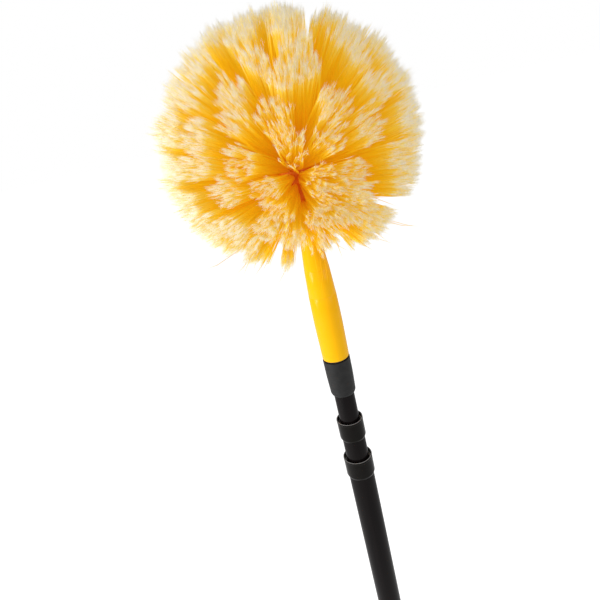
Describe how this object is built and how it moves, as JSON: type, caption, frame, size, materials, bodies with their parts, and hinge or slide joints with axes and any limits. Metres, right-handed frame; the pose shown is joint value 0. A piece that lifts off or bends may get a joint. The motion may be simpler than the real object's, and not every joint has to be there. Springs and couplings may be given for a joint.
{
  "type": "cobweb brush with telescopic pole",
  "caption": "Ball-shaped bristle duster on a tapered screw-on socket and a twist-lock telescopic pole with cup collars.",
  "frame": {"origin": "centre of the end cap's flat bottom face, on the pole's axis", "axes": "+Z along the pole from the end cap to the brush head; the hanging hole in the end cap runs along X"},
  "size_m": [0.2076, 0.2074, 0.9646],
  "materials": {
    "black_plastic": "gloss",
    "tube_paint": "gloss",
    "grip_rubber": "matte",
    "charcoal_plastic": "satin",
    "yellow_plastic": "gloss",
    "orange_plastic": "satin",
    "bristle": "satin",
    "white_nylon": "satin",
    "brass_cone": "satin",
    "bright_steel": "satin",
    "washer_rubber": "matte"
  },
  "bodies": {
    "handle": {"end_cap": "black_plastic", "hand_grip": "grip_rubber", "outer_tube": "tube_paint", "outer_collar": "black_plastic"},
    "middle_lock": {"middle_lock_sleeve": "white_nylon"},
    "middle_cone": {"middle_lock_cone": "brass_cone"},
    "middle_section": {"middle_lock_stud": "black_plastic", "middle_lock_clip": "bright_steel", "middle_tube": "tube_paint", "middle_collar": "black_plastic"},
    "inner_lock": {"inner_lock_sleeve": "white_nylon"},
    "inner_cone": {"inner_lock_cone": "brass_cone"},
    "inner_section": {"inner_lock_stud": "black_plastic", "inner_lock_clip": "bright_steel", "inner_tube": "tube_paint", "tip_ferrule": "charcoal_plastic", "threaded_tip": "charcoal_plastic"},
    "washer": {"seat_washer": "washer_rubber"},
    "head": {"head_socket": "yellow_plastic", "hub_core": "orange_plastic", "hub_pin": "bright_steel", "tuft_row_01": "bristle", "tuft_row_02": "bristle", "tuft_row_03": "bristle", "tuft_row_04": "bristle", "tuft_row_05": "bristle", "tuft_row_06": "bristle", "tuft_row_07": "bristle", "tuft_row_08": "bristle", "tuft_row_09": "bristle", "tuft_row_10": "bristle", "tuft_row_11": "bristle", "tuft_row_12": "bristle"}
  },
  "joints": [
    {"name": "middle_slide", "type": "slide", "parent": "handle", "child": "middle_lock", "axis": [0, 0, 1], "range_m": [-0.0227, 0.37]},
    {"name": "middle_twist", "type": "hinge", "parent": "middle_lock", "child": "middle_section", "pos_m": [0, 0, 0.1148], "axis": [0, 0, 1], "range_deg": [0, 270]},
    {"name": "middle_cone_travel", "type": "slide", "parent": "middle_lock", "child": "middle_cone", "axis": [0, 0, 1], "range_m": [-0.00112, 0]},
    {"name": "inner_slide", "type": "slide", "parent": "middle_section", "child": "inner_lock", "axis": [0, 0, 1], "range_m": [-0.03, 0.33]},
    {"name": "inner_twist", "type": "hinge", "parent": "inner_lock", "child": "inner_section", "pos_m": [0, 0, 0.1999], "axis": [0, 0, 1], "range_deg": [0, 270]},
    {"name": "inner_cone_travel", "type": "slide", "parent": "inner_lock", "child": "inner_cone", "axis": [0, 0, 1], "range_m": [-0.00112, 0]},
    {"name": "head_lift", "type": "slide", "parent": "inner_section", "child": "washer", "axis": [0, 0, 1], "range_m": [0, 0.02032]},
    {"name": "head_unscrew", "type": "hinge", "parent": "washer", "child": "head", "pos_m": [0, 0, 0.671], "axis": [0, 0, 1], "range_deg": [0, 1440]}
  ],
  "couplings": [
    {"joint": "middle_twist", "follows": "middle_cone_travel", "rad_per_m": -4188.8},
    {"joint": "inner_twist", "follows": "inner_cone_travel", "rad_per_m": -4188.8},
    {"joint": "head_unscrew", "follows": "head_lift", "rad_per_m": 1236.8}
  ]
}
